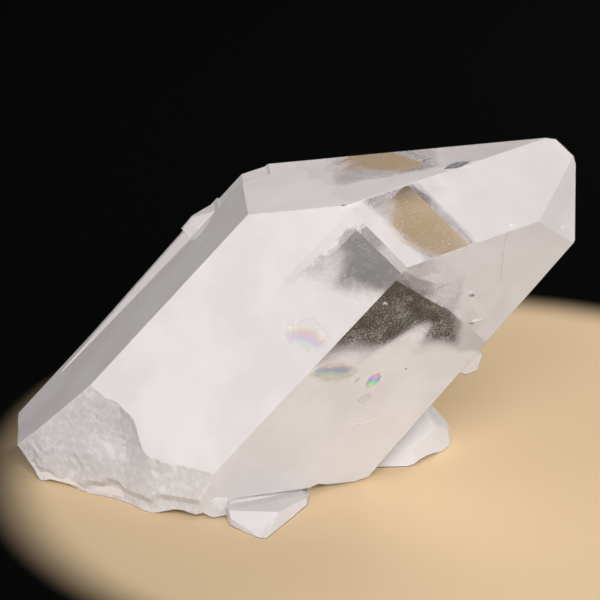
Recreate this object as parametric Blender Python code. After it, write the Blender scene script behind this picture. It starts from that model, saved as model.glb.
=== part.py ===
# Quartz point: one natural crystal, broken off at its base and lying on the break.
# The crystal is a block cut by its own face planes, then trimmed by rough break surfaces.
# Lengths are in millimetres here and become metres on the finished mesh. +Z is up.

import math

import bmesh
import bpy
from mathutils import Matrix, Vector, noise

MM = 0.001
PART_NAME = "quartz_point"

# How the crystal's long axis (its c axis) lies above the ground.
LEAN_DEG = 40.81        # away from upright
HEADING_DEG = 5.17      # direction of the lean, seen from above
SPIN_DEG = 178.86       # turn about its own axis
AXIS_ORIGIN = (0.0, -1.87, 24.755)
BLOCK_SIZE = 240.0      # the raw block before any face is cut
SPARE_BELOW = 12.0      # stock left under the ground line for the underside cut

# Crystal faces: azimuth and rise above the girdle in degrees, distance from the axis origin.
PRISM_FACES = (
    (0.0, 1.45, 23.18),
    (59.48, 1.13, 20.00),
    (120.2, -0.12, 18.95),
    (179.97, 1.93, 23.86),
    (240.0, 0.0, 32.00),
    (299.99, 0.56, 22.42),
)
TIP_FACES = (
    (0.06, 38.21, 25.63),
    (60.21, 38.17, 30.72),
    (119.9, 37.9, 41.24),
    (180.15, 38.8, 44.47),
    (240.05, 38.25, 35.21),
    (300.0, 38.23, 27.30),
)
# Small facets that blunt the shoulder and the end of the tip edge.
CHIP_FACES = (
    (28.0, 22.0, 29.25),
)

# Re-entrant step at the top of the edge between the first and the last prism face.
NOTCH_START = 6.4
NOTCH_SIDE_INSET = 5.0
NOTCH_FACE_INSET = 2.95

# Thin plates grown over that edge, in the crystal's frame.
OVERGROWTHS = (
    {
        "name": "edge_crust_long",
        "centre": (22.6, -11.4, -15.0),
        "size": (7.0, 9.0, 44.0),
        "cuts": (
            ((1.0, 0.0, 0.0), 1.60),
            ((0.93, 0.36, 0.0), 2.10),
            ((0.5, -0.866, 0.01), 0.35),
            ((0.60, 0.0, 0.80), 13.2),
            ((0.16, 0.0, -0.99), 19.5),
        ),
    },
    {
        "name": "edge_crust_bump",
        "centre": (22.6, -11.2, 2.0),
        "size": (7.0, 7.0, 12.0),
        "cuts": (
            ((1.0, -0.05, -0.02), 2.10),
            ((0.92, 0.0, 0.39), 1.75),
            ((0.86, 0.50, 0.05), 2.35),
            ((0.5, -0.866, 0.0), 0.75),
            ((0.34, 0.20, -0.92), 3.9),
        ),
    },
    {
        "name": "edge_tooth",
        "centre": (-24.2, 7.0, 15.4),
        "size": (6.0, 6.0, 7.0),
        "cuts": (
            ((-0.503, 0.864, 0.0), 0.45),
            ((0.50, -0.86, 0.0), 1.70),
            ((-0.72, -0.42, 0.55), 1.55),
            ((-0.66, -0.38, -0.65), 1.85),
            ((-0.30, -0.18, 0.94), 2.4),
            ((-0.05, -0.18, -0.98), 2.1),
        ),
    },
)

# Broken stubs of neighbouring crystals at the foot, in the ground frame.
STUBS = (
    {
        "name": "front_stub",
        "centre": (-5.0, -23.0, 0.0),
        "size": (30.0, 30.0, 20.0),
        "cuts": (
            ((-0.97, -0.22, 0.05), 7.35),
            ((-0.67, -0.74, -0.05), 7.45),
            ((-0.27, -0.96, 0.05), 8.50),
            ((0.40, -0.92, 0.00), 8.30),
            ((0.78, -0.62, 0.02), 5.90),
            ((0.97, -0.19, 0.10), 5.30),
            ((0.86, -0.46, 0.20), 3.60),
            ((0.0, 0.148, 0.989), 1.95),
            ((-0.06, -0.402, 0.914), 3.75),
        ),
    },
    {
        "name": "toe_ledge",
        "centre": (-14.2, -21.6, 0.0),
        "size": (16.0, 16.0, 14.0),
        "cuts": (
            ((-0.97, -0.20, 0.05), 3.10),
            ((-0.30, -0.95, 0.10), 2.90),
            ((0.30, -0.95, 0.12), 2.90),
            ((0.96, -0.26, 0.10), 2.80),
            ((-0.25, -0.62, 0.74), 4.10),
            ((0.55, -0.30, 0.78), 3.70),
        ),
    },
    {
        "name": "back_stub",
        "centre": (18.0, 4.0, 0.0),
        "size": (36.0, 30.0, 30.0),
        "cuts": (
            ((0.07, -0.97, 0.22), 7.50),
            ((0.75, -0.63, 0.18), 6.05),
            ((0.84, -0.50, 0.20), 6.50),
            ((0.97, -0.12, 0.18), 8.00),
            ((0.72, 0.62, 0.30), 9.20),
            ((0.10, 0.95, 0.28), 8.60),
            ((0.675, -0.05, 0.736), 7.45),
            ((0.10, -0.40, 0.90), 5.60),
        ),
    },
)

# Break surfaces, in the ground frame: a point on the plane, its outward normal, the
# direction of its width, its width and height, and how deep its relief runs.
BREAKS = (
    {
        "name": "front_break",
        "point": (-32.3, -16.25, 10.0),
        "normal": (-0.488, -0.870, 0.070),
        "along": (0.87, -0.49, 0.0),
        "size": (70.0, 60.0),
        "cells": (60, 50),
        "relief": 1.10,
        "grain": 7.5,
        "seed": 3.0,
        "crease_at": 9.0,
        "ledge_top": 2.4,
    },
    {
        "name": "toe_break",
        "point": (-15.9, -25.8, 3.8),
        "normal": (-0.247, -0.952, -0.178),
        "along": (0.95, -0.25, 0.0),
        "size": (22.0, 30.0),
        "cells": (14, 18),
        "relief": 0.50,
        "grain": 3.5,
        "seed": 21.0,
        "crease_at": None,
        "ledge_top": None,
    },
    {
        "name": "end_break",
        "point": (-46.7, -2.0, 3.0),
        "normal": (-0.815, -0.04, -0.580),
        "along": (0.0, 1.0, 0.0),
        "size": (66.0, 62.0),
        "cells": (36, 34),
        "relief": 1.05,
        "grain": 4.5,
        "seed": 14.0,
        "crease_at": None,
        "ledge_top": None,
    },
)
BREAK_BLOCK_DEPTH = 40.0
CREASE_HEIGHT = 1.3     # the upright ridge where two break facets meet
CREASE_REACH = 6.0
CREASE_SLANT = 0.12
LEDGE_DEPTH = 0.6       # the foot of the break sets back under a thin lip
LEDGE_WANDER = 1.6

# The underside: rough hollows between flat patches that carry the crystal.
UNDERSIDE_SIZE = (130.0, 84.0)
UNDERSIDE_CELLS = (56, 36)
UNDERSIDE_HOLLOW = 2.6
UNDERSIDE_GRAIN = 9.0
REST_PAD_CENTRE = (-8.0, -2.0)
REST_PAD_RADIUS = 7.0

MERGE_DISTANCE = 0.00001


def direction(azimuth_deg, rise_deg):
    azimuth = math.radians(azimuth_deg)
    rise = math.radians(rise_deg)
    flat = math.cos(rise)
    return Vector((flat * math.cos(azimuth), flat * math.sin(azimuth), math.sin(rise)))


def crystal_to_ground():
    turn = (
        Matrix.Rotation(math.radians(HEADING_DEG), 4, "Z")
        @ Matrix.Rotation(math.radians(LEAN_DEG), 4, "Y")
        @ Matrix.Rotation(math.radians(SPIN_DEG), 4, "Z")
    )
    return Matrix.Translation(AXIS_ORIGIN) @ turn


def cut_flat(bm, point, normal):
    """Cut everything beyond the plane away and close the cut with one flat face."""
    geometry = bm.verts[:] + bm.edges[:] + bm.faces[:]
    result = bmesh.ops.bisect_plane(
        bm, geom=geometry, dist=MERGE_DISTANCE, plane_co=point, plane_no=normal, clear_outer=True
    )
    rim = [item for item in result["geom_cut"] if isinstance(item, bmesh.types.BMEdge)]
    if rim:
        bmesh.ops.contextual_create(bm, geom=rim)


def make_block(size, centre):
    bm = bmesh.new()
    bmesh.ops.create_cube(bm, size=1.0)
    bmesh.ops.scale(bm, verts=bm.verts, vec=Vector(size))
    bmesh.ops.translate(bm, verts=bm.verts, vec=Vector(centre))
    return bm


def to_object(bm, name, matrix, collection):
    """Turn the working mesh into an object, with its place written into the mesh."""
    bmesh.ops.transform(bm, matrix=Matrix.Diagonal((MM, MM, MM, 1.0)) @ matrix, verts=bm.verts)
    bmesh.ops.recalc_face_normals(bm, faces=bm.faces)
    mesh = bpy.data.meshes.new(name)
    bm.to_mesh(mesh)
    bm.free()
    piece = bpy.data.objects.new(name, mesh)
    collection.objects.link(piece)
    return piece


def make_crystal(collection):
    bm = make_block((BLOCK_SIZE, BLOCK_SIZE, BLOCK_SIZE), (0.0, 0.0, 0.0))
    for azimuth, rise, distance in PRISM_FACES + TIP_FACES + CHIP_FACES:
        normal = direction(azimuth, rise)
        cut_flat(bm, normal * distance, normal)
    to_crystal = crystal_to_ground().inverted()
    down = to_crystal.to_3x3() @ Vector((0.0, 0.0, -1.0))
    cut_flat(bm, to_crystal @ Vector((0.0, 0.0, -SPARE_BELOW)), down)
    return to_object(bm, PART_NAME, crystal_to_ground(), collection)


def make_notch(collection):
    """The corner block that is missing where the crystal steps back near its shoulder."""
    reach = 30.0
    bm = make_block((60.0, 60.0, reach), (30.0, -30.0, NOTCH_START + 0.5 * reach))
    for (azimuth, rise, distance), inset in ((PRISM_FACES[0], NOTCH_FACE_INSET), (PRISM_FACES[5], NOTCH_SIDE_INSET)):
        normal = direction(azimuth, rise)
        cut_flat(bm, normal * (distance - inset), -normal)
    return to_object(bm, "shoulder_notch", crystal_to_ground(), collection)


def make_chunk(spec, matrix, collection):
    centre = Vector(spec["centre"])
    bm = make_block(spec["size"], centre)
    for normal, distance in spec["cuts"]:
        normal = Vector(normal).normalized()
        cut_flat(bm, centre + normal * distance, normal)
    return to_object(bm, spec["name"], matrix, collection)


def steps(value, height):
    """Rounds a height towards flat treads, so broken quartz shows small ledges."""
    tread = math.floor(value / height) * height
    rest = (value - tread) / height
    return tread + height * rest ** 4


def break_relief(on_sheet, place, spec):
    """Height of the break over its plane: broad swells, ledges, a crease and a lip."""
    grain = spec["grain"]
    seed = Vector((spec["seed"], 0.0, 0.0))
    broad = noise.noise(place / grain + seed)
    ridged = noise.ridged_multi_fractal(place / grain + seed, 1.0, 2.1, 3, 1.0, 2.0) - 1.0
    height = spec["relief"] * steps(broad + 0.22 * ridged, 0.3)
    if spec["crease_at"] is not None:
        away = abs(on_sheet.x - spec["crease_at"] + CREASE_SLANT * on_sheet.y)
        height += CREASE_HEIGHT * max(0.0, 1.0 - away / CREASE_REACH)
    if spec["ledge_top"] is not None:
        lip = spec["ledge_top"] + LEDGE_WANDER * noise.noise(place / 5.0 - seed)
        if place.z < lip:
            height -= LEDGE_DEPTH
    return height


def make_break(spec, collection):
    """A block whose inner side is the rough break, to be taken off the crystal."""
    normal = Vector(spec["normal"]).normalized()
    along = Vector(spec["along"])
    along = (along - normal * along.dot(normal)).normalized()
    across = normal.cross(along)
    frame = Matrix((along, across, normal)).transposed().to_4x4()
    frame.translation = Vector(spec["point"])
    bm = bmesh.new()
    bmesh.ops.create_grid(bm, x_segments=spec["cells"][0], y_segments=spec["cells"][1], size=0.5)
    bmesh.ops.scale(bm, verts=bm.verts, vec=Vector((spec["size"][0], spec["size"][1], 1.0)))
    for vert in bm.verts:
        vert.co.z = break_relief(vert.co, frame @ vert.co, spec)
    close_block(bm, BREAK_BLOCK_DEPTH)
    return to_object(bm, spec["name"], frame, collection)


def close_block(bm, level):
    """Extrude the rough sheet to a flat level, which makes it a closed block."""
    result = bmesh.ops.extrude_face_region(bm, geom=bm.faces[:])
    for item in result["geom"]:
        if isinstance(item, bmesh.types.BMVert):
            item.co.z = level


def make_underside(collection):
    bm = bmesh.new()
    bmesh.ops.create_grid(bm, x_segments=UNDERSIDE_CELLS[0], y_segments=UNDERSIDE_CELLS[1], size=0.5)
    bmesh.ops.scale(bm, verts=bm.verts, vec=Vector((UNDERSIDE_SIZE[0], UNDERSIDE_SIZE[1], 1.0)))
    pad = Vector((REST_PAD_CENTRE[0], REST_PAD_CENTRE[1], 0.0))
    for vert in bm.verts:
        hollow = noise.fractal(vert.co / UNDERSIDE_GRAIN + Vector((5.0, 2.0, 0.0)), 1.0, 2.0, 3)
        from_pad = (vert.co - pad).length / REST_PAD_RADIUS
        depth = UNDERSIDE_HOLLOW * steps(hollow, 0.25) * min(1.0, max(0.0, from_pad - 1.0))
        vert.co.z = max(0.0, depth)
    close_block(bm, -BREAK_BLOCK_DEPTH)
    return to_object(bm, "underside_break", Matrix.Identity(4), collection)


def combine(body, other, operation):
    modifier = body.modifiers.new(other.name, "BOOLEAN")
    modifier.object = other
    modifier.operation = operation
    modifier.solver = "EXACT"
    bpy.context.view_layer.objects.active = body
    bpy.ops.object.modifier_apply(modifier=modifier.name)


def stand_on_origin(body):
    """Put the middle of the footprint box at the origin and the lowest point on the ground."""
    corners = [vert.co for vert in body.data.vertices]
    low = Vector([min(co[axis] for co in corners) for axis in range(3)])
    high = Vector([max(co[axis] for co in corners) for axis in range(3)])
    shift = Vector((-0.5 * (low.x + high.x), -0.5 * (low.y + high.y), -low.z))
    body.data.transform(Matrix.Translation(shift))
    print("origin shift in mm", [round(value / MM, 3) for value in shift])


def tidy_mesh(body):
    bm = bmesh.new()
    bm.from_mesh(body.data)
    bmesh.ops.remove_doubles(bm, verts=bm.verts, dist=MERGE_DISTANCE)
    bmesh.ops.dissolve_degenerate(bm, edges=bm.edges, dist=MERGE_DISTANCE)
    bmesh.ops.triangulate(bm, faces=bm.faces)
    bmesh.ops.recalc_face_normals(bm, faces=bm.faces)
    bm.to_mesh(body.data)
    bm.free()


def quartz_material():
    material = bpy.data.materials.new("milky_quartz")
    material.use_nodes = True
    shader = material.node_tree.nodes["Principled BSDF"]
    shader.inputs["Base Color"].default_value = (0.83, 0.80, 0.79, 1.0)
    shader.inputs["Roughness"].default_value = 0.12
    shader.inputs["IOR"].default_value = 1.544
    return material


def build():
    for old in list(bpy.data.objects):
        bpy.data.objects.remove(old, do_unlink=True)
    part = bpy.data.collections.new(PART_NAME)
    cutters = bpy.data.collections.new("cutters")
    for collection in (part, cutters):
        bpy.context.scene.collection.children.link(collection)

    body = make_crystal(part)
    removed = [make_notch(cutters)] + [make_break(spec, cutters) for spec in BREAKS]
    added = [make_chunk(spec, crystal_to_ground(), cutters) for spec in OVERGROWTHS]
    added += [make_chunk(spec, Matrix.Identity(4), cutters) for spec in STUBS]
    underside = make_underside(cutters)
    for helper in removed + added + [underside]:
        helper.hide_render = True
        helper.display_type = "WIRE"

    for helper in removed:
        combine(body, helper, "DIFFERENCE")
    for helper in added:
        combine(body, helper, "UNION")
    combine(body, underside, "DIFFERENCE")

    tidy_mesh(body)
    stand_on_origin(body)
    body.data.materials.clear()
    body.data.materials.append(quartz_material())


build()
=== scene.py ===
import math

import bpy
import bmesh
from mathutils import Matrix, Vector, noise


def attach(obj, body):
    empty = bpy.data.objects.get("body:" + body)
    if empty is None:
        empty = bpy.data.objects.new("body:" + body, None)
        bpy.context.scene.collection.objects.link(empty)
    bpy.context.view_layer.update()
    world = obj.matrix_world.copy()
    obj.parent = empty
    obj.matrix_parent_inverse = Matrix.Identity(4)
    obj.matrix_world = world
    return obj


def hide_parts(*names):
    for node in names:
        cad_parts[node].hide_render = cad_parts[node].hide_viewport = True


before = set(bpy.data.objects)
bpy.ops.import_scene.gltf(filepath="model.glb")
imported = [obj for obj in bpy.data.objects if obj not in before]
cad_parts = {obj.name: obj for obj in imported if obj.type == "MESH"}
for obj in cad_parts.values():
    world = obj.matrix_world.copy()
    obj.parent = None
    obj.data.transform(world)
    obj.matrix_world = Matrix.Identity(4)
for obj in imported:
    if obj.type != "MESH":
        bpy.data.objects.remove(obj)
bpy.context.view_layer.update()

mm = 0.001

# how the crystal lies: lean from upright, heading and spin in degrees, axis origin in mm
pose = {"lean": 40.81, "heading": 5.17, "spin": 178.86, "origin": (1.791, -1.404, 24.755)}
crystalToGround = (
    Matrix.Translation(Vector(pose["origin"]) * mm)
    @ Matrix.Rotation(math.radians(pose["heading"]), 4, "Z")
    @ Matrix.Rotation(math.radians(pose["lean"]), 4, "Y")
    @ Matrix.Rotation(math.radians(pose["spin"]), 4, "Z")
)

# growth faces: azimuth, rise, distance from the axis origin in mm
prismFaces = [(0.0, 1.45, 23.18), (59.48, 1.13, 20.0), (120.2, -0.12, 18.95),
              (179.97, 1.93, 23.86), (240.0, 0.0, 32.0), (299.99, 0.56, 22.42)]
tipFaces = [(0.06, 38.21, 25.63), (60.21, 38.17, 30.72), (119.9, 37.9, 41.24),
            (180.15, 38.8, 44.47), (240.05, 38.25, 35.21), (300.0, 38.23, 27.3)]
# the faces that carry clouds, flaws and painted glints
frontFace, rightFace = prismFaces[1], prismFaces[2]
roofFace, tipFace, smallFace = tipFaces[:3]
# the broken foot: a point on each break and the way it faces
breakPlanes = [((-29.9, -15.1, 10), (-0.488, -0.870, 0.070)),
               ((-43.4, -1.5, 3), (-0.815, -0.04, -0.58)),
               ((-14.1, -24.0, 4), (-0.247, -0.952, -0.178))]


def faceNormal(azimuth, rise):
    turn, lift = math.radians(azimuth), math.radians(rise)
    return Vector((math.cos(lift) * math.cos(turn), math.cos(lift) * math.sin(turn), math.sin(lift)))


# crystal millimetres to scene metres
def toGround(point):
    return crystalToGround @ (Vector(point) * mm)


def turnToGround(direction):
    return (crystalToGround.to_3x3() @ Vector(direction)).normalized()


def deselectAll():
    if bpy.context.object and bpy.context.object.mode != "OBJECT":
        bpy.ops.object.mode_set(mode="OBJECT")
    bpy.ops.object.select_all(action="DESELECT")


def makeActive(piece):
    deselectAll()
    piece.select_set(True)
    bpy.context.view_layer.objects.active = piece


def startCube(name, centre, size):
    deselectAll()
    bpy.ops.mesh.primitive_cube_add(size=1, location=centre)
    piece = bpy.context.object
    piece.name = piece.data.name = name
    piece.scale = size
    bpy.ops.object.transform_apply(location=True, rotation=True, scale=True)
    return piece


# a block well past the crystal, to be cut down to it
blockCentre, blockSize = (0, 0, 0.03), (0.3, 0.3, 0.3)


# in edit mode: keeps what lies behind the plane and closes the cut
def cutFlat(point, normal):
    bpy.ops.mesh.select_all(action="SELECT")
    bpy.ops.mesh.bisect(plane_co=point, plane_no=normal, use_fill=True, clear_outer=True, threshold=1e-7)


# in edit mode: trims a block to the crystal's own faces, a little inside them
def cutToCrystal(inset):
    for azimuth, rise, distance in prismFaces + tipFaces:
        normal = faceNormal(azimuth, rise)
        cutFlat(toGround(normal * (distance - inset)), turnToGround(normal))


def cutAcross(level, normal, keepBelow=True):
    normal = Vector(normal).normalized()
    sign = 1 if keepBelow else -1
    cutFlat(toGround(normal * level), turnToGround(normal * sign))


def cutToFoot():
    aboveGround = 0.7 * mm
    cutFlat((0, 0, aboveGround), (0, 0, -1))
    for point, normal in breakPlanes:
        cutFlat(Vector(point) * mm, normal)


def closeUp(piece, material, shadow=True):
    bpy.ops.mesh.select_all(action="SELECT")
    bpy.ops.mesh.remove_doubles(threshold=1e-6)
    bpy.ops.mesh.normals_make_consistent(inside=False)
    bpy.ops.object.mode_set(mode="OBJECT")
    piece.data.materials.append(material)
    piece.visible_shadow = shadow
    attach(piece, "root")
    return piece


# shader helpers
def newMaterial(name):
    mat = bpy.data.materials.new(name)
    mat.use_nodes = True
    return mat, mat.node_tree.nodes, mat.node_tree.links, mat.node_tree.nodes["Principled BSDF"]


def objectCoords(nodes):
    return nodes.new("ShaderNodeTexCoord").outputs["Object"]


def fade(nodes, links, source, start, end, low=0.0, high=1.0):
    ramp = nodes.new("ShaderNodeMapRange")
    ramp.interpolation_type = "SMOOTHSTEP"
    for socket, value in (("Value", source), ("From Min", start), ("From Max", end),
                          ("To Min", low), ("To Max", high)):
        if isinstance(value, (int, float)):
            ramp.inputs[socket].default_value = value
        else:
            links.new(value, ramp.inputs[socket])
    return ramp.outputs["Result"]


def maths(nodes, links, operation, *values):
    node = nodes.new("ShaderNodeMath")
    node.operation = operation
    for socket, value in zip(node.inputs, values):
        if isinstance(value, (int, float)):
            socket.default_value = value
        else:
            links.new(value, socket)
    return node.outputs["Value"]


def cloud(nodes, links, place, scale, detail=2.0, roughness=0.5):
    texture = nodes.new("ShaderNodeTexNoise")
    texture.inputs["Scale"].default_value = scale
    texture.inputs["Detail"].default_value = detail
    texture.inputs["Roughness"].default_value = roughness
    links.new(place, texture.inputs["Vector"])
    return texture.outputs["Fac"]


# how far a place lies along a direction, in mm from a start point
def reach(nodes, links, place, start, direction):
    offset = nodes.new("ShaderNodeVectorMath")
    offset.operation = "SUBTRACT"
    offset.inputs[1].default_value = start
    links.new(place, offset.inputs[0])
    dot = nodes.new("ShaderNodeVectorMath")
    dot.operation = "DOT_PRODUCT"
    dot.inputs[1].default_value = Vector(direction) / mm
    links.new(offset.outputs["Vector"], dot.inputs[0])
    return dot.outputs["Value"]


# a soft curve through (place, value) stops, values within plus or minus the span
def profile(nodes, links, source, stops, span):
    low, width = stops[0][0], stops[-1][0] - stops[0][0]
    share = maths(nodes, links, "DIVIDE", maths(nodes, links, "SUBTRACT", source, low), width)
    ramp = nodes.new("ShaderNodeValToRGB")
    ramp.color_ramp.interpolation = "EASE"
    marks = ramp.color_ramp.elements
    while len(marks) < len(stops):
        marks.new(0.5)
    for mark, (spot, value) in zip(marks, stops):
        shade = (value + span) / (2 * span)
        mark.position = (spot - low) / width
        mark.color = (shade, shade, shade, 1)
    links.new(share, ramp.inputs["Fac"])
    return maths(nodes, links, "MULTIPLY_ADD", ramp.outputs["Color"], 2 * span, -span)


def sharedGroup(name, inputs, outputs):
    group = bpy.data.node_groups.new(name, "ShaderNodeTree")
    for socketName, kind, value in inputs:
        socket = group.interface.new_socket(name=socketName, in_out="INPUT", socket_type=kind)
        if value is not None:
            socket.default_value = value
    for socketName, kind in outputs:
        group.interface.new_socket(name=socketName, in_out="OUTPUT", socket_type=kind)
    start = group.nodes.new("NodeGroupInput")
    end = group.nodes.new("NodeGroupOutput")
    return group, group.nodes, group.links, start.outputs, end.inputs


def placeGroup(nodes, links, group, place, **values):
    node = nodes.new("ShaderNodeGroup")
    node.node_tree = group
    links.new(place, node.inputs["Place"])
    for name, value in values.items():
        node.inputs[name].default_value = value
    return node.outputs


# the haze: thick in the foot and along the left side, a trace at the tip, clear between
haze = {"level": (0.6, -0.1, 1), "side": (1, 0.17, 0), "tip": (-0.5, 0, 1), "warp": 1.2, "warpScale": 120,
        "sideClear": 12.8, "sideFull": 15.0, "tipClear": 28.5, "tipFull": 37.0,
        "dips": [(-24, 0), (-14, 0), (-9.5, -2.2), (-5.5, 2.4), (24, 2.4)], "dipSpan": 3.0,
        "hollow": 5.0, "hollowSide": (-10.3, -12.8), "hollowBack": (12, 20)}
hazeLevel = Vector(haze["level"]).normalized()
hazeSide = Vector(haze["side"]).normalized()
hazeTip = Vector(haze["tip"]).normalized()


def makeHazeGroup():
    number = "NodeSocketFloat"
    group, nodes, links, given, result = sharedGroup(
        "hazeDepth",
        [("Place", "NodeSocketVector", None), ("Full", number, 2.0), ("Clear", number, 7.0),
         ("Tip", number, 0.1)],
        [("Density", number)])
    place = given["Place"]
    swell = cloud(nodes, links, place, haze["warpScale"], 2)
    swell = fade(nodes, links, swell, 0.2, 0.8, -haze["warp"], haze["warp"])
    origin = toGround((0, 0, 0))
    height = reach(nodes, links, place, origin, turnToGround(hazeLevel))
    height = maths(nodes, links, "ADD", height, swell)
    sideways = reach(nodes, links, place, origin, turnToGround((1, 0, 0)))
    dips = profile(nodes, links, sideways, haze["dips"], haze["dipSpan"])
    height = maths(nodes, links, "ADD", height, dips)
    backward = reach(nodes, links, place, origin, turnToGround((0, -1, 0)))
    atLeft = fade(nodes, links, sideways, *haze["hollowSide"], 0, haze["hollow"])
    atBack = fade(nodes, links, backward, *haze["hollowBack"])
    height = maths(nodes, links, "ADD", height, maths(nodes, links, "MULTIPLY", atLeft, atBack))
    below = fade(nodes, links, height, given["Full"], given["Clear"], 1, 0)
    across = reach(nodes, links, place, origin, turnToGround(hazeSide))
    across = maths(nodes, links, "ADD", across, swell)
    beside = fade(nodes, links, across, haze["sideClear"], haze["sideFull"])
    outward = reach(nodes, links, place, origin, turnToGround(hazeTip))
    atTip = fade(nodes, links, outward, haze["tipClear"], haze["tipFull"])
    atTip = maths(nodes, links, "MULTIPLY", atTip, given["Tip"])
    density = maths(nodes, links, "MAXIMUM", maths(nodes, links, "MAXIMUM", below, beside), atTip)
    links.new(density, result["Density"])
    return group


hazeGroup = makeHazeGroup()


def glassMaterial():
    look = {"ior": 1.544, "faceRough": 0.02, "breakRough": 0.26,
            "waves": 120, "waviness": 0.05, "waveHeight": 0.4, "crumbs": 1300, "crumbHeight": 7.0,
            "tint": (0.93, 0.90, 0.92, 1), "tintDensity": 4.0}
    mat, nodes, links, shader = newMaterial("clear_quartz")
    shader.inputs["Base Color"].default_value = (1, 1, 1, 1)
    shader.inputs["Transmission Weight"].default_value = 1.0
    shader.inputs["IOR"].default_value = look["ior"]
    frost = nodes.new("ShaderNodeAttribute")
    frost.attribute_name = "frost"
    rough = fade(nodes, links, frost.outputs["Fac"], 0, 1, look["faceRough"], look["breakRough"])
    links.new(rough, shader.inputs["Roughness"])
    bump = nodes.new("ShaderNodeBump")
    bump.inputs["Strength"].default_value = look["waviness"]
    bump.inputs["Distance"].default_value = look["waveHeight"] * mm
    coords = objectCoords(nodes)
    crumbs = cloud(nodes, links, coords, look["crumbs"], 4, 0.7)
    crumbs = maths(nodes, links, "MULTIPLY", frost.outputs["Fac"], crumbs)
    waves = cloud(nodes, links, coords, look["waves"], 3)
    links.new(maths(nodes, links, "MULTIPLY_ADD", crumbs, look["crumbHeight"], waves), bump.inputs["Height"])
    links.new(bump.outputs["Normal"], shader.inputs["Normal"])
    absorb = nodes.new("ShaderNodeVolumeAbsorption")
    absorb.inputs["Color"].default_value = look["tint"]
    absorb.inputs["Density"].default_value = look["tintDensity"]
    links.new(absorb.outputs["Volume"], nodes["Material Output"].inputs["Volume"])
    return mat


# one colour into another by a mask; each is a colour or another node's output
def blend(nodes, links, first, second, mask):
    mix = nodes.new("ShaderNodeMix")
    mix.data_type = "RGBA"
    links.new(mask, mix.inputs["Factor"])
    for socket, colour in ((mix.inputs[6], first), (mix.inputs[7], second)):
        if isinstance(colour, tuple):
            socket.default_value = colour
        else:
            links.new(colour, socket)
    return mix.outputs[2]


# the milk's own tone, slightly uneven, duller and finely scratched where the foot is broken; the white
# scratch marks are partly real scratches and partly painted glints on the break
def makeToneGroup():
    tone = {"shade": (0.83, 0.80, 0.80, 1), "light": (0.90, 0.875, 0.875, 1),
            "breakShade": (0.62, 0.60, 0.61, 1), "grain": 900,
            "scratch": (0.98, 0.96, 0.95, 1), "scratchTurn": -48, "scratchLength": 7, "scratchGrain": 2600}
    group, nodes, links, given, result = sharedGroup(
        "milkTone", [("Place", "NodeSocketVector", None), ("Scale", "NodeSocketFloat", 90.0)],
        [("Colour", "NodeSocketColor")])
    drift = nodes.new("ShaderNodeTexNoise")
    drift.inputs["Detail"].default_value = 6
    links.new(given["Place"], drift.inputs["Vector"])
    links.new(given["Scale"], drift.inputs["Scale"])
    patches = fade(nodes, links, drift.outputs["Fac"], 0.35, 0.65)
    colour = blend(nodes, links, tone["shade"], tone["light"], patches)
    frost = nodes.new("ShaderNodeAttribute")
    frost.attribute_name = "frost"
    grain = cloud(nodes, links, given["Place"], tone["grain"], 5, 0.7)
    grain = fade(nodes, links, grain, 0.42, 0.70, 0.6, 0.0)
    grain = maths(nodes, links, "MULTIPLY", frost.outputs["Fac"], grain)
    colour = blend(nodes, links, colour, tone["breakShade"], grain)
    # white scratch marks on the break: partly real scratches, partly painted glints
    stretch = nodes.new("ShaderNodeMapping")
    stretch.vector_type = "TEXTURE"
    stretch.inputs["Rotation"].default_value = (0, math.radians(tone["scratchTurn"]), 0)
    stretch.inputs["Scale"].default_value = (1, 1, tone["scratchLength"])
    links.new(given["Place"], stretch.inputs["Vector"])
    marks = cloud(nodes, links, stretch.outputs["Vector"], tone["scratchGrain"], 3)
    marks = fade(nodes, links, marks, 0.60, 0.72, 0, 0.8)
    marks = maths(nodes, links, "MULTIPLY", frost.outputs["Fac"], marks)
    links.new(blend(nodes, links, colour, tone["scratch"], marks), result["Colour"])
    return group


toneGroup = makeToneGroup()


def milkMaterial():
    mat, nodes, links, shader = newMaterial("milky_haze")
    tone = placeGroup(nodes, links, toneGroup, objectCoords(nodes))
    links.new(tone["Colour"], shader.inputs["Base Color"])
    shader.inputs["Roughness"].default_value = 1.0
    shader.inputs["Specular IOR Level"].default_value = 0.0
    return mat


# clouds just under single faces: each sheet thickens along its own direction, from one place to another
def addClouds(nodes, links, coords, alpha, look):
    origin = toGround((0, 0, 0))
    deep, shallow = look["cloudDepth"]
    for azimuth, rise, distance, warp, sheets in look["clouds"]:
        swell = cloud(nodes, links, coords, look["cloudSize"], 5, 0.6)
        swell = fade(nodes, links, swell, 0.2, 0.8, -warp, warp)
        near = reach(nodes, links, coords, origin, turnToGround(faceNormal(azimuth, rise)))
        near = fade(nodes, links, near, distance - deep, distance - shallow)
        for direction, start, end, low, high in sheets:
            along = maths(nodes, links, "ADD", reach(nodes, links, coords, origin, direction), swell)
            sheet = maths(nodes, links, "MULTIPLY", fade(nodes, links, along, start, end, low, high), near)
            alpha = maths(nodes, links, "MAXIMUM", alpha, sheet)
    return alpha


# fine flecks, in patches, that thin out away from the foot
def addFlecks(nodes, links, coords, alpha, look):
    fine = cloud(nodes, links, coords, look["grain"], 5, 0.8)
    patchy = fade(nodes, links, cloud(nodes, links, coords, look["patch"], 3), 0.35, 0.65, -0.04, 0.05)
    flecks = fade(nodes, links, maths(nodes, links, "ADD", fine, patchy), 0.52, 0.64, 0, look["flecks"])
    spread = placeGroup(nodes, links, hazeGroup, coords, Full=look["full"], Clear=look["reach"], Tip=0)
    flecks = maths(nodes, links, "MULTIPLY", flecks, spread["Density"])
    return maths(nodes, links, "MAXIMUM", alpha, flecks)


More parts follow.
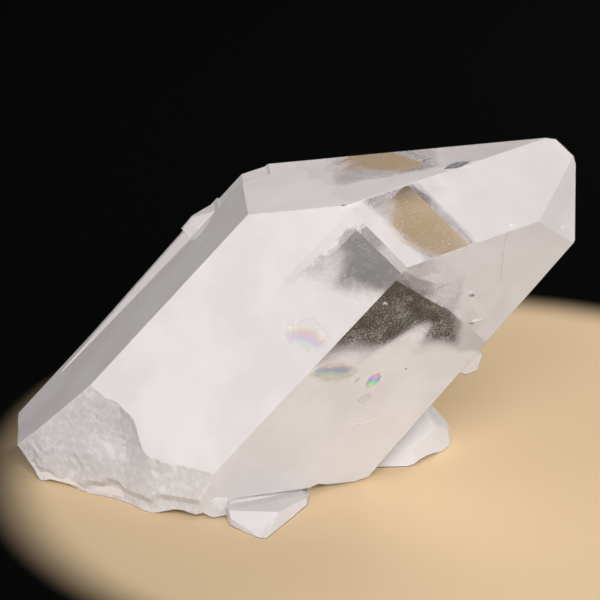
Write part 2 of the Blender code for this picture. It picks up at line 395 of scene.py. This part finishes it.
def hazeMaterial(name, look):
    mat, nodes, links, shader = newMaterial(name)
    coords = objectCoords(nodes)
    spread = placeGroup(nodes, links, hazeGroup, coords,
                        Full=look["full"], Clear=look["clear"], Tip=look["tip"])
    alpha = spread["Density"]
    if "clouds" in look:
        alpha = addClouds(nodes, links, coords, alpha, look)
    if "flecks" in look:
        alpha = addFlecks(nodes, links, coords, alpha, look)
    links.new(alpha, shader.inputs["Alpha"])
    links.new(placeGroup(nodes, links, toneGroup, coords)["Colour"], shader.inputs["Base Color"])
    shader.inputs["Roughness"].default_value = 1.0
    shader.inputs["Specular IOR Level"].default_value = 0.0
    return mat


# the solid's own mesh, merged into whole faces again
def copyOfSolid(name):
    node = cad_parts["quartz_point"]
    mesh = node.data.copy()
    mesh.materials.clear()
    mesh.name = name
    piece = bpy.data.objects.new(name, mesh)
    bpy.context.scene.collection.objects.link(piece)
    makeActive(piece)
    bpy.ops.object.mode_set(mode="EDIT")
    bpy.ops.mesh.select_all(action="SELECT")
    bpy.ops.mesh.remove_doubles(threshold=1e-6)
    bpy.ops.mesh.dissolve_limited(angle_limit=math.radians(0.4))
    bpy.ops.mesh.faces_shade_flat()
    bpy.ops.mesh.select_all(action="DESELECT")
    bpy.ops.object.mode_set(mode="OBJECT")
    return piece


# the relief of the break: faces up to this area in mm2 and up to this height count as broken
breakRelief = {"faceArea": 2.6, "top": 24, "cuts": 2, "depth": 0.08, "milkShare": 0.5, "grain": 1.2,
               "flatBelow": 0.3}


# sugary relief on the broken foot: small faces are split and pushed inward unevenly
# the growth faces and the underside stay flat
def roughenBreak(piece, share=1.0):
    growth = [turnToGround(faceNormal(azimuth, rise)) for azimuth, rise, _ in prismFaces + tipFaces]

    def isBreak(face):
        if face.calc_area() / mm ** 2 > breakRelief["faceArea"]:
            return False
        if face.calc_center_median().z > breakRelief["top"] * mm:
            return False
        return all(face.normal.dot(normal) < 0.999 for normal in growth)

    bm = bmesh.new()
    bm.from_mesh(piece.data)
    rough = [f for f in bm.faces if isBreak(f) and f.normal.z > -0.93]
    edges = list({e for f in rough for e in f.edges})
    bmesh.ops.subdivide_edges(bm, edges=edges, cuts=breakRelief["cuts"], use_grid_fill=True)
    bmesh.ops.triangulate(bm, faces=[f for f in bm.faces if len(f.verts) > 4])
    bm.normal_update()
    frost = bm.verts.layers.float.new("frost")
    for v in bm.verts:
        if not all(isBreak(f) for f in v.link_faces):
            continue
        v[frost] = 1.0
        if v.co.z > breakRelief["flatBelow"] * mm:
            rise = noise.fractal(v.co / (breakRelief["grain"] * mm), 1.0, 2.0, 3)
            v.co -= v.normal * breakRelief["depth"] * share * mm * max(0, 0.6 + rise)
    bm.to_mesh(piece.data)
    bm.free()


def makeSkin():
    piece = copyOfSolid("crystal_skin")
    roughenBreak(piece)
    piece.data.materials.append(glassMaterial())
    piece.visible_shadow = False
    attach(piece, "root")
    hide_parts("quartz_point")
    return piece


skin = makeSkin()
print("skin", len(skin.data.polygons))


# swells and hollows on the flat face where the milk ends
def swellTop(piece, level, rise, size):
    up = turnToGround(hazeLevel)
    base = up.dot(toGround(hazeLevel * level))

    def onTop(point):
        return abs(up.dot(point) - base) < 0.1 * mm

    bpy.ops.mesh.select_all(action="DESELECT")
    bpy.ops.object.mode_set(mode="OBJECT")
    for face in piece.data.polygons:
        face.select = face.normal.dot(up) > 0.99 and onTop(face.center)
    bpy.ops.object.mode_set(mode="EDIT")
    bpy.ops.mesh.select_mode(type="FACE")
    bpy.ops.mesh.poke()
    for _ in range(3):
        bpy.ops.mesh.subdivide(number_cuts=2)
    bpy.ops.object.mode_set(mode="OBJECT")
    bm = bmesh.new()
    bm.from_mesh(piece.data)
    for vert in bm.verts:
        if onTop(vert.co) and all(f.normal.dot(up) > 0.99 for f in vert.link_faces):
            vert.co += up * rise * mm * noise.fractal(vert.co / (size * mm), 0.9, 2.1, 3)
    bm.to_mesh(piece.data)
    bm.free()
    bpy.ops.object.mode_set(mode="EDIT")


# milk that fills the foot: the solid shrunk a little, so it follows every ledge and stub
def makeMilkyFoot(material):
    footValues = {"inset": 0.14, "level": 0.0, "rise": 0.2, "size": 12.0}
    foot = copyOfSolid("milky_foot")
    bpy.ops.object.mode_set(mode="EDIT")
    bpy.ops.mesh.select_all(action="SELECT")
    bpy.ops.transform.shrink_fatten(value=-footValues["inset"] * mm, use_even_offset=True)
    cutAcross(footValues["level"], hazeLevel)
    swellTop(foot, footValues["level"], footValues["rise"], footValues["size"])
    bpy.ops.mesh.select_all(action="SELECT")
    bpy.ops.mesh.quads_convert_to_tris()
    closeUp(foot, material)
    roughenBreak(foot, breakRelief["milkShare"])
    return foot


# milk that climbs the left side to the tip
def makeMilkySide(material):
    sideValues = {"inset": 0.32, "wall": 14.8, "overlap": 4.5}
    side = startCube("milky_side", blockCentre, blockSize)
    bpy.ops.object.mode_set(mode="EDIT")
    cutToCrystal(sideValues["inset"])
    cutAcross(sideValues["wall"], hazeSide, False)
    cutAcross(-sideValues["overlap"], hazeLevel, False)
    cutToFoot()
    return closeUp(side, material)


# clouds under the faces: the front goes milky below its window, the roof, tip and right side cloud over
def faceClouds():
    level, axis = turnToGround(hazeLevel), turnToGround((0, 0, 1))
    frontward = turnToGround(faceNormal(*frontFace[:2]))
    upLeft, upRight, aside = (-0.629, 0.47, 0.619), (0.708, 0.109, 0.697), (0.723, 0.583, 0.372)
    sideways, backward = (1, 0, 0), (0, 1, 0)
    # each face with how far its clouds' edges waver, then direction, start, end, and how dense at both
    return [
        (*frontFace, 1.2, [(level, 12.0, 16.2, 1.0, 0.28), (upLeft, 1.3, 2.4, 0.0, 0.88)]),
        (*roofFace, 0.6, [(backward, -4.8, -2.4, 0.92, 0.0), (sideways, 4.0, 7.5, 0.92, 0.0),
                          (sideways, 20.5, 24.0, 0.0, 0.6)]),
        (*tipFace, 0.3, [(axis, 31.0, 43.0, 0.0, 0.7), (frontward, 17.5, 18.7, 0.0, 0.72),
                         (aside, 18.5, 20.3, 0.0, 0.75)]),
        (*smallFace, 0.3, [(axis, 30.0, 42.0, 0.3, 0.8)]),
        (*rightFace, 0.7, [(upRight, 21.7, 22.6, 0.0, 0.22), (upRight, 22.0, 29.5, 0.0, 0.68),
                           (sideways, 24.4, 27.4, 0.0, 0.7)])]


# haze just under the skin: the solid shrunk a hair, so it follows every ledge and stub
def makeSurfaceHaze():
    look = {"inset": 0.08, "full": 2.2, "clear": 6.5, "tip": 0.5,
            "clouds": faceClouds(), "cloudSize": 220, "cloudDepth": (0.16, 0.12)}
    layer = copyOfSolid("surface_haze")
    bpy.ops.object.mode_set(mode="EDIT")
    bpy.ops.mesh.select_all(action="SELECT")
    bpy.ops.transform.shrink_fatten(value=-look["inset"] * mm, use_even_offset=True)
    closeUp(layer, hazeMaterial("surface_haze", look))
    roughenBreak(layer, breakRelief["milkShare"])
    return layer


# specks deeper in, on a closed crystal form
def makeFleckedHaze():
    look = {"depth": 3.6, "full": 1.0, "clear": 7.5, "tip": 0.10,
            "flecks": 0.54, "grain": 3200, "patch": 260, "reach": 34.0}
    layer = startCube("flecked_haze", blockCentre, blockSize)
    bpy.ops.object.mode_set(mode="EDIT")
    cutToCrystal(look["depth"])
    cutToFoot()
    return closeUp(layer, hazeMaterial("flecked_haze", look))


milk = milkMaterial()
milkyFoot = makeMilkyFoot(milk)
milkySide = makeMilkySide(milk)
print("milk", len(milkyFoot.data.polygons), len(milkySide.data.polygons))
hazeLayers = [makeSurfaceHaze(), makeFleckedHaze()]
print("haze layers", len(hazeLayers))


# thin films in healed cracks: soft bands of colour with a broken edge
def makeFilmGroup():
    vector, number = "NodeSocketVector", "NodeSocketFloat"
    group, nodes, links, given, result = sharedGroup(
        "filmBands",
        [("Place", vector, None), ("Centre", vector, None), ("Across", vector, None), ("Down", vector, None),
         ("Bend", number, 0.3), ("Grain", number, 900.0)],
        [("Band", number), ("Mask", number)])
    offset = nodes.new("ShaderNodeVectorMath")
    offset.operation = "SUBTRACT"
    links.new(given["Place"], offset.inputs[0])
    links.new(given["Centre"], offset.inputs[1])
    sides = []
    for name in ("Across", "Down"):
        dot = nodes.new("ShaderNodeVectorMath")
        dot.operation = "DOT_PRODUCT"
        links.new(offset.outputs["Vector"], dot.inputs[0])
        links.new(given[name], dot.inputs[1])
        sides.append(dot.outputs["Value"])
    across, down = sides
    squareAcross = maths(nodes, links, "POWER", across, 2.0)
    bow = maths(nodes, links, "MULTIPLY", squareAcross, given["Bend"])
    band = maths(nodes, links, "SUBTRACT", down, bow)
    grain = nodes.new("ShaderNodeTexNoise")
    grain.inputs["Detail"].default_value = 4
    links.new(given["Place"], grain.inputs["Vector"])
    links.new(given["Grain"], grain.inputs["Scale"])
    ripple = fade(nodes, links, grain.outputs["Fac"], 0.25, 0.75, -0.12, 0.12)
    band = maths(nodes, links, "ADD", band, ripple)
    links.new(fade(nodes, links, band, -1, 1), result["Band"])
    squareDown = maths(nodes, links, "POWER", down, 2.0)
    outward = maths(nodes, links, "ADD", squareAcross, squareDown)
    mask = fade(nodes, links, maths(nodes, links, "ADD", outward, ripple), 0.0, 0.85, 1, 0)
    links.new(mask, result["Mask"])
    return group


def filmMaterial(name, film):
    mat, nodes, links, shader = newMaterial(name)
    coords = objectCoords(nodes)
    across = Vector(film["across"]).normalized() / (film["size"][0] * mm)
    down = Vector(film["down"]).normalized() / (film["size"][1] * mm)
    bands = placeGroup(nodes, links, filmGroup, coords, Centre=Vector(film["centre"]) * mm,
                       Across=across, Down=down, Bend=film["bend"], Grain=film["grain"])
    ramp = nodes.new("ShaderNodeValToRGB")
    stops = ramp.color_ramp.elements
    while len(stops) < len(film["colours"]):
        stops.new(0.5)
    for index, colour in enumerate(film["colours"]):
        stops[index].position = index / (len(film["colours"]) - 1)
        stops[index].color = (*colour, 1)
    links.new(bands["Band"], ramp.inputs["Fac"])
    links.new(ramp.outputs["Color"], shader.inputs["Base Color"])
    links.new(maths(nodes, links, "MULTIPLY", bands["Mask"], film["strength"]), shader.inputs["Alpha"])
    shader.inputs["Roughness"].default_value = 0.7
    shader.inputs["Specular IOR Level"].default_value = 0.0
    return mat


# lays a finished piece just below a face: its x along one direction, its z out of the face
def layOnFace(piece, face, place, along, depth):
    azimuth, rise, distance = face
    outward = turnToGround(faceNormal(azimuth, rise))
    facePoint = toGround(faceNormal(azimuth, rise) * distance) / mm
    place = Vector(place)
    place -= outward * (outward.dot(place - facePoint) + depth)
    along = Vector(along)
    along = (along - outward * along.dot(outward)).normalized()
    side = outward.cross(along)
    turn = Matrix((along, side, outward)).transposed().to_4x4()
    piece.matrix_world = Matrix.Translation(place * mm) @ turn
    makeActive(piece)
    bpy.ops.object.transform_apply(location=True, rotation=True, scale=True)


def makeFilm(name, film, face):
    deselectAll()
    bpy.ops.mesh.primitive_circle_add(vertices=40, radius=1, fill_type="NGON", location=(0, 0, 0))
    piece = bpy.context.object
    piece.name = piece.data.name = name
    bpy.ops.object.mode_set(mode="EDIT")
    bpy.ops.transform.resize(value=(film["size"][0] * mm, film["size"][1] * mm, 1))
    bpy.ops.mesh.extrude_region_move(TRANSFORM_OT_translate={"value": (0, 0, filmThickness * mm)})
    bpy.ops.object.mode_set(mode="OBJECT")
    layOnFace(piece, face, film["centre"], film["across"], filmDepth)
    bpy.ops.object.mode_set(mode="EDIT")
    return closeUp(piece, filmMaterial(name, film))


filmDepth, filmThickness = 0.05, 0.03
filmGroup = makeFilmGroup()
frontFilm = {"centre": (3.1, -21.5, 32.1), "across": (7.3, -2.9, -1.1), "down": (-1.0, -1.2, -3.9),
             "size": (4.9, 3.1), "bend": 0.8, "grain": 500, "strength": 0.45,
             "colours": [(0.92, 0.91, 0.91), (1.0, 1.0, 0.98), (0.98, 0.93, 0.76), (0.96, 0.76, 0.83),
                         (0.82, 0.78, 0.98), (0.85, 0.97, 0.90), (0.91, 0.92, 0.90)]}
edgeFilm = {"centre": (7.4, -21.2, 25.3), "across": (8.1, 3.7, 1.3), "down": (-0.9, 0.6, -2.6),
            "size": (5.6, 2.6), "bend": -0.35, "grain": 600, "strength": 0.42,
            "colours": [(0.80, 0.72, 0.66), (0.86, 0.72, 0.62), (0.42, 0.48, 0.68), (0.55, 0.72, 0.80),
                        (0.84, 0.88, 0.66), (0.86, 0.86, 0.74), (0.88, 0.86, 0.86)]}
sparkFilm = {"centre": (14.0, -16.6, 21.9), "across": (1.65, 1.04, -0.48), "down": (-0.3, 0.8, -2.1),
             "size": (1.5, 1.9), "bend": 0.1, "grain": 1500, "strength": 1.0,
             "colours": [(1.0, 0.95, 0.45), (1.0, 0.62, 0.85), (0.80, 0.45, 1.0), (0.45, 0.60, 1.0),
                         (0.30, 1.0, 0.40), (0.92, 1.0, 0.80), (0.95, 0.88, 0.90)]}
paleFilm = {"centre": (12.4, -16.0, 18.6), "across": (1.65, 1.04, -0.48), "down": (-0.3, 0.8, -2.1),
            "size": (1.7, 1.3), "bend": 0.2, "grain": 1200, "strength": 0.35,
            "colours": [(0.96, 0.80, 0.90), (0.95, 0.86, 0.95), (0.85, 0.95, 0.97), (0.93, 0.92, 0.90)]}
films = [makeFilm("front_film", frontFilm, frontFace), makeFilm("edge_film", edgeFilm, rightFace),
         makeFilm("spark_film", sparkFilm, rightFace), makeFilm("pale_film", paleFilm, rightFace)]
print("films", len(films))


# small flaws and painted light: bright and dark chips, most of them painted glints of the lamps and painted
# dark reflections on fracture planes, a hairline crack, a pale thread
def flawAndGlintMaterial(name, look):
    mat, nodes, links, shader = newMaterial(name)
    coords = objectCoords(nodes)
    patches = fade(nodes, links, cloud(nodes, links, coords, look["scale"], 3), 0.35, 0.65)
    tone = blend(nodes, links, look["dark"], look["light"], patches)
    links.new(tone, shader.inputs["Base Color"])
    holes = cloud(nodes, links, coords, look["scale"] * 1.7, 2)
    links.new(fade(nodes, links, holes, 0.30, 0.60, *look["alpha"]), shader.inputs["Alpha"])
    shader.inputs["Roughness"].default_value = look["rough"]
    return mat


def makeChip(name, face, material, chip):
    piece = startCube(name, (0, 0, 0), [side * mm for side in chip["size"]])
    length, width, _ = chip["size"]
    bpy.ops.object.mode_set(mode="EDIT")
    # the corners are cut off, each in its own direction and at its own share of the half size
    for turn, share in ((25, 0.62), (155, 0.70), (205, 0.60), (335, 0.72)):
        angle = math.radians(turn)
        normal = Vector((math.cos(angle) * width, math.sin(angle) * length, 0)).normalized()
        edge = Vector((math.cos(angle) * length, math.sin(angle) * width, 0)) * 0.5 * share * mm
        cutFlat(edge, normal)
    bpy.ops.object.mode_set(mode="OBJECT")
    layOnFace(piece, face, chip["place"], chip["along"], chip.get("depth", chipDepth))
    bpy.ops.object.mode_set(mode="EDIT")
    return closeUp(piece, material, shadow=False)


def makeThread(name, points, width, material):
    curve = bpy.data.curves.new(name, "CURVE")
    curve.dimensions = "3D"
    curve.bevel_depth = width * mm
    curve.bevel_resolution = 1
    curve.use_fill_caps = True
    spline = curve.splines.new("POLY")
    spline.points.add(len(points) - 1)
    for spot, point in zip(spline.points, points):
        spot.co = (*(Vector(point) * mm), 1)
    piece = bpy.data.objects.new(name, curve)
    bpy.context.scene.collection.objects.link(piece)
    makeActive(piece)
    bpy.ops.object.convert(target="MESH")
    piece = bpy.context.object
    bpy.ops.object.mode_set(mode="EDIT")
    return closeUp(piece, material, shadow=False)


# points between places on a face, pushed a little below it and made uneven
def unevenLine(line, face):
    azimuth, rise, distance = face
    outward = turnToGround(faceNormal(azimuth, rise))
    level = outward.dot(toGround(faceNormal(azimuth, rise) * distance)) / mm - line["depth"]
    shift = Vector((line["seed"], 0, 0))
    points = []
    for start, end in zip(line["stops"][:-1], line["stops"][1:]):
        for step in range(line["steps"]):
            point = Vector(start).lerp(Vector(end), step / line["steps"])
            point += noise.noise_vector(point * 1.7 + shift) * line["stray"]
            points.append(point + outward * (level - point.dot(outward)))
    return points


# the bright and cream tones paint glints of the lamps and the dark tone paints dark reflections; the same
# materials also colour the real flecks and the pale thread
brightFlawAndGlint = flawAndGlintMaterial("bright_flaw_and_glint", {"dark": (0.80, 0.78, 0.76, 1), "light": (1, 1, 0.98, 1),
                                          "scale": 1400, "alpha": (0.75, 1.0), "rough": 0.25})
creamFlawAndGlint = flawAndGlintMaterial("cream_flaw_and_glint", {"dark": (0.86, 0.78, 0.62, 1), "light": (1, 0.97, 0.86, 1),
                                        "scale": 1400, "alpha": (0.8, 1.0), "rough": 0.3})
darkFlawAndReflection = flawAndGlintMaterial("dark_flaw_and_reflection", {"dark": (0.10, 0.11, 0.13, 1), "light": (0.45, 0.45, 0.47, 1),
                                      "scale": 1800, "alpha": (0.35, 0.8), "rough": 0.3})
faintFlaw = flawAndGlintMaterial("faint_flaw", {"dark": (0.34, 0.32, 0.32, 1), "light": (0.55, 0.53, 0.53, 1),
                                        "scale": 1400, "alpha": (0.0, 0.6), "rough": 0.6})
# how deep the chips lie; one that overlaps another lies a little higher
chipDepth, upperDepth = 0.05, 0.045
streak = (1.61, 0.16, 1.83)
chips = [
    # painted glint: a lamp's bright streak on a fracture plane, split by a painted dark reflection
    ("glint_streak_a", rightFace, brightFlawAndGlint,
     {"place": (10.7, -18.7, 23.0), "along": streak, "size": (2.3, 0.30, 0.03)}),
    ("dark_reflection_streak_b", rightFace, darkFlawAndReflection,
     {"place": (11.3, -18.3, 22.7), "along": streak, "size": (2.0, 0.22, 0.03)}),
    ("glint_streak_c", rightFace, brightFlawAndGlint,
     {"place": (11.6, -18.1, 22.8), "along": streak, "size": (2.1, 0.20, 0.03)}),
    ("fleck_a", rightFace, brightFlawAndGlint,
     {"place": (15.4, -21.6, 37.7), "along": (0.9, 0.4, 1.6), "size": (1.0, 0.24, 0.03)}),
    ("fleck_b", rightFace, brightFlawAndGlint,
     {"place": (15.8, -21.4, 37.5), "along": (0.5, 0.3, -1.8), "size": (0.9, 0.24, 0.03)}),
    # painted glints of the lamps, one cream and two white, with painted dark reflections beside them
    ("glint_c", rightFace, creamFlawAndGlint,
     {"place": (31.2, -10.6, 30.2), "along": (2.1, 1.3, -0.1), "size": (2.9, 0.62, 0.04)}),
    ("dark_reflection_d", rightFace, darkFlawAndReflection,
     {"place": (30.5, -11.3, 29.6), "along": (2.1, 1.3, -0.3), "size": (2.4, 0.25, 0.04),
      "depth": upperDepth}),
    ("glint_e", rightFace, brightFlawAndGlint,
     {"place": (29.9, -13.4, 36.4), "along": (2.1, 1.3, -0.6), "size": (2.2, 0.30, 0.04)}),
    ("dark_reflection_f", rightFace, darkFlawAndReflection,
     {"place": (30.1, -13.2, 35.7), "along": (2.1, 1.3, -0.6), "size": (2.0, 0.60, 0.04),
      "depth": upperDepth}),
    ("glint_g", rightFace, brightFlawAndGlint,
     {"place": (31.4, -12.8, 36.8), "along": (0.3, 0.1, 1.0), "size": (0.6, 0.40, 0.04)}),
    # a painted dark reflection of the dark surroundings, with a painted glint on it
    ("roof_dark_reflection", roofFace, darkFlawAndReflection,
     {"place": (27.6, -5.9, 55.9), "along": (1, 0.42, 0.1), "size": (6.6, 2.6, 0.03)}),
    ("roof_glint", roofFace, brightFlawAndGlint,
     {"place": (29.4, -6.6, 56.1), "along": (1, 0.42, 0.1), "size": (2.4, 0.8, 0.03),
      "depth": upperDepth}),
    # a painted glint of a lamp on the tip's edge
    ("edge_glint", tipFace, brightFlawAndGlint,
     {"place": (36.3, -13.8, 48.1), "along": (1.7, 0.7, 0.3), "size": (1.9, 0.7, 0.03)}),
    ("tip_dot", smallFace, brightFlawAndGlint,
     {"place": (45.2, -8.1, 45.8), "along": (0.0, 0.2, 0.6), "size": (0.9, 1.1, 0.03)}),
    ("yellow_speck", rightFace, creamFlawAndGlint,
     {"place": (17.7, -12.8, 17.3), "along": (0.7, 0.1, 0.7), "size": (0.9, 0.35, 0.03)}),
    ("dark_speck", rightFace, darkFlawAndReflection,
     {"place": (19.4, -14.0, 22.9), "along": (0.7, 0.0, 0.9), "size": (0.7, 0.4, 0.03)}),
    ("corner_chip", roofFace, darkFlawAndReflection,
     {"place": (8.8, -15.2, 52.2), "along": (1.3, -0.5, 0.2), "size": (1.5, 0.5, 0.03)}),
]
flawsAndGlints = [makeChip(*chip) for chip in chips]
crack = {"stops": [(35.5, -14.8, 47.4), (34.9, -13.0, 41.9), (34.9, -11.1, 36.9)],
         "depth": 0.075, "steps": 9, "stray": 0.35, "seed": 2}
flawsAndGlints.append(makeThread("hairline_crack", unevenLine(crack, rightFace), 0.055, faintFlaw))
wisp = {"stops": [(10.1, -15.2, 13.2), (12.7, -13.7, 13.0), (15.6, -12.6, 13.9)],
        "depth": 0.09, "steps": 6, "stray": 0.2, "seed": 5}
flawsAndGlints.append(makeThread("pale_thread", unevenLine(wisp, rightFace), 0.06, brightFlawAndGlint))
print("flawsAndGlints", len(flawsAndGlints))


# the studio: a pale floor that falls into the dark, and soft light
def makeFloor():
    floorValues = {"pale": (0.95, 0.73, 0.46, 1), "dark": (0.004, 0.004, 0.004, 1),
                   "centre": (0.0274, 0, 0), "near": 0.068, "far": 0.082, "radius": 0.9}
    deselectAll()
    bpy.ops.mesh.primitive_circle_add(vertices=128, radius=floorValues["radius"], fill_type="NGON",
                                      location=(0, 0, 0))
    floor = bpy.context.object
    floor.name = "studio_floor"
    mat, nodes, links, shader = newMaterial("pale_floor")
    away = nodes.new("ShaderNodeVectorMath")
    away.operation = "DISTANCE"
    away.inputs[1].default_value = floorValues["centre"]
    links.new(objectCoords(nodes), away.inputs[0])
    edge = fade(nodes, links, away.outputs["Value"], floorValues["near"], floorValues["far"])
    tone = blend(nodes, links, floorValues["pale"], floorValues["dark"], edge)
    links.new(tone, shader.inputs["Base Color"])
    shader.inputs["Roughness"].default_value = 0.9
    shader.inputs["Specular IOR Level"].default_value = 0.0
    floor.data.materials.append(mat)


def softLight(name, place, size, power, colour):
    target = Vector((0, 0, 0.028))
    data = bpy.data.lights.new(name, "AREA")
    data.shape = "RECTANGLE"
    data.size, data.size_y = size
    data.energy = power
    data.color = colour
    lamp = bpy.data.objects.new(name, data)
    lamp.location = place
    lamp.visible_transmission = False
    lamp.rotation_euler = (target - Vector(place)).to_track_quat("-Z", "Y").to_euler()
    bpy.context.scene.collection.objects.link(lamp)


def makeCamera():
    view = {"target": (0.001791, 0.000466, 0.0295), "distance": 0.48523, "elevation": 21.5, "lens": 171.26}
    tilt = math.radians(view["elevation"])
    data = bpy.data.cameras.new("studio_camera")
    data.lens = view["lens"]
    data.sensor_width = 36
    data.clip_start = 0.02
    camera = bpy.data.objects.new("studio_camera", data)
    bpy.context.scene.collection.objects.link(camera)
    camera.location = Vector(view["target"]) + view["distance"] * Vector((0, -math.cos(tilt), math.sin(tilt)))
    camera.rotation_euler = (math.radians(90) - tilt, 0, 0)
    bpy.context.scene.camera = camera


makeFloor()
softLight("front", (0.05, -0.62, 0.46), (0.50, 0.40), 4.2, (1.0, 0.965, 0.955))
softLight("left", (-0.68, -0.10, 0.14), (0.40, 0.40), 1.45, (1.0, 0.96, 0.95))
softLight("back", (0.20, 0.31, 0.27), (0.20, 0.20), 0.82, (1.0, 0.94, 0.90))
softLight("right", (0.60, -0.34, 0.14), (0.40, 0.40), 1.35, (1.0, 0.97, 0.96))

world = bpy.data.worlds.new("studio_dark")
world.use_nodes = True
world.node_tree.nodes["Background"].inputs["Color"].default_value = (0.003, 0.003, 0.003, 1)
bpy.context.scene.world = world
makeCamera()

scene = bpy.context.scene
scene.view_settings.view_transform = "Standard"
scene.cycles.max_bounces = 20
scene.cycles.transmission_bounces = 16
scene.cycles.transparent_max_bounces = 32
scene.cycles.caustics_reflective = False
scene.cycles.caustics_refractive = True
print("studio set")
